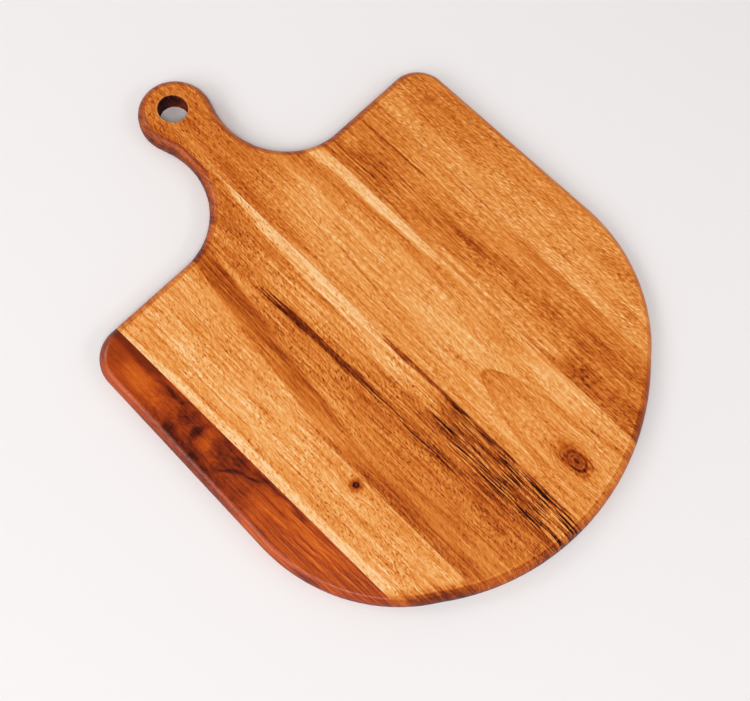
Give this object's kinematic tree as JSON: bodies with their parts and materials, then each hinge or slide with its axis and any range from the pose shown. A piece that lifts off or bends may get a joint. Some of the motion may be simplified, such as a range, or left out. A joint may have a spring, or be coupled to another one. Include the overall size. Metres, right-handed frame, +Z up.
{
  "type": "pizza paddle board",
  "caption": "Flat edge-glued hardwood serving board with a round end, leaning sides, rounded shoulders and a short handle with a hanging hole.",
  "frame": {"origin": "middle of the board's length and width, on the underside", "axes": "+X across the staves, +Y along the staves to the tip of the handle, +Z up out of the serving face"},
  "size_m": [0.305, 0.39, 0.015],
  "materials": {
    "left_edge_wood": "oiled, satin",
    "pale_wood": "oiled, satin",
    "streaked_wood": "oiled, satin",
    "handle_wood": "oiled, satin",
    "inner_right_wood": "oiled, satin",
    "right_edge_wood": "oiled, satin",
    "glue": "cured wood glue"
  },
  "bodies": {
    "root": {"left_edge_stave": "left_edge_wood", "pale_stave": "pale_wood", "streaked_stave": "streaked_wood", "handle_stave": "handle_wood", "inner_right_stave": "inner_right_wood", "right_edge_stave": "right_edge_wood", "glue_line_1": "glue", "glue_line_2": "glue", "glue_line_3": "glue", "glue_line_4": "glue", "glue_line_5": "glue"}
  },
  "joints": []
}
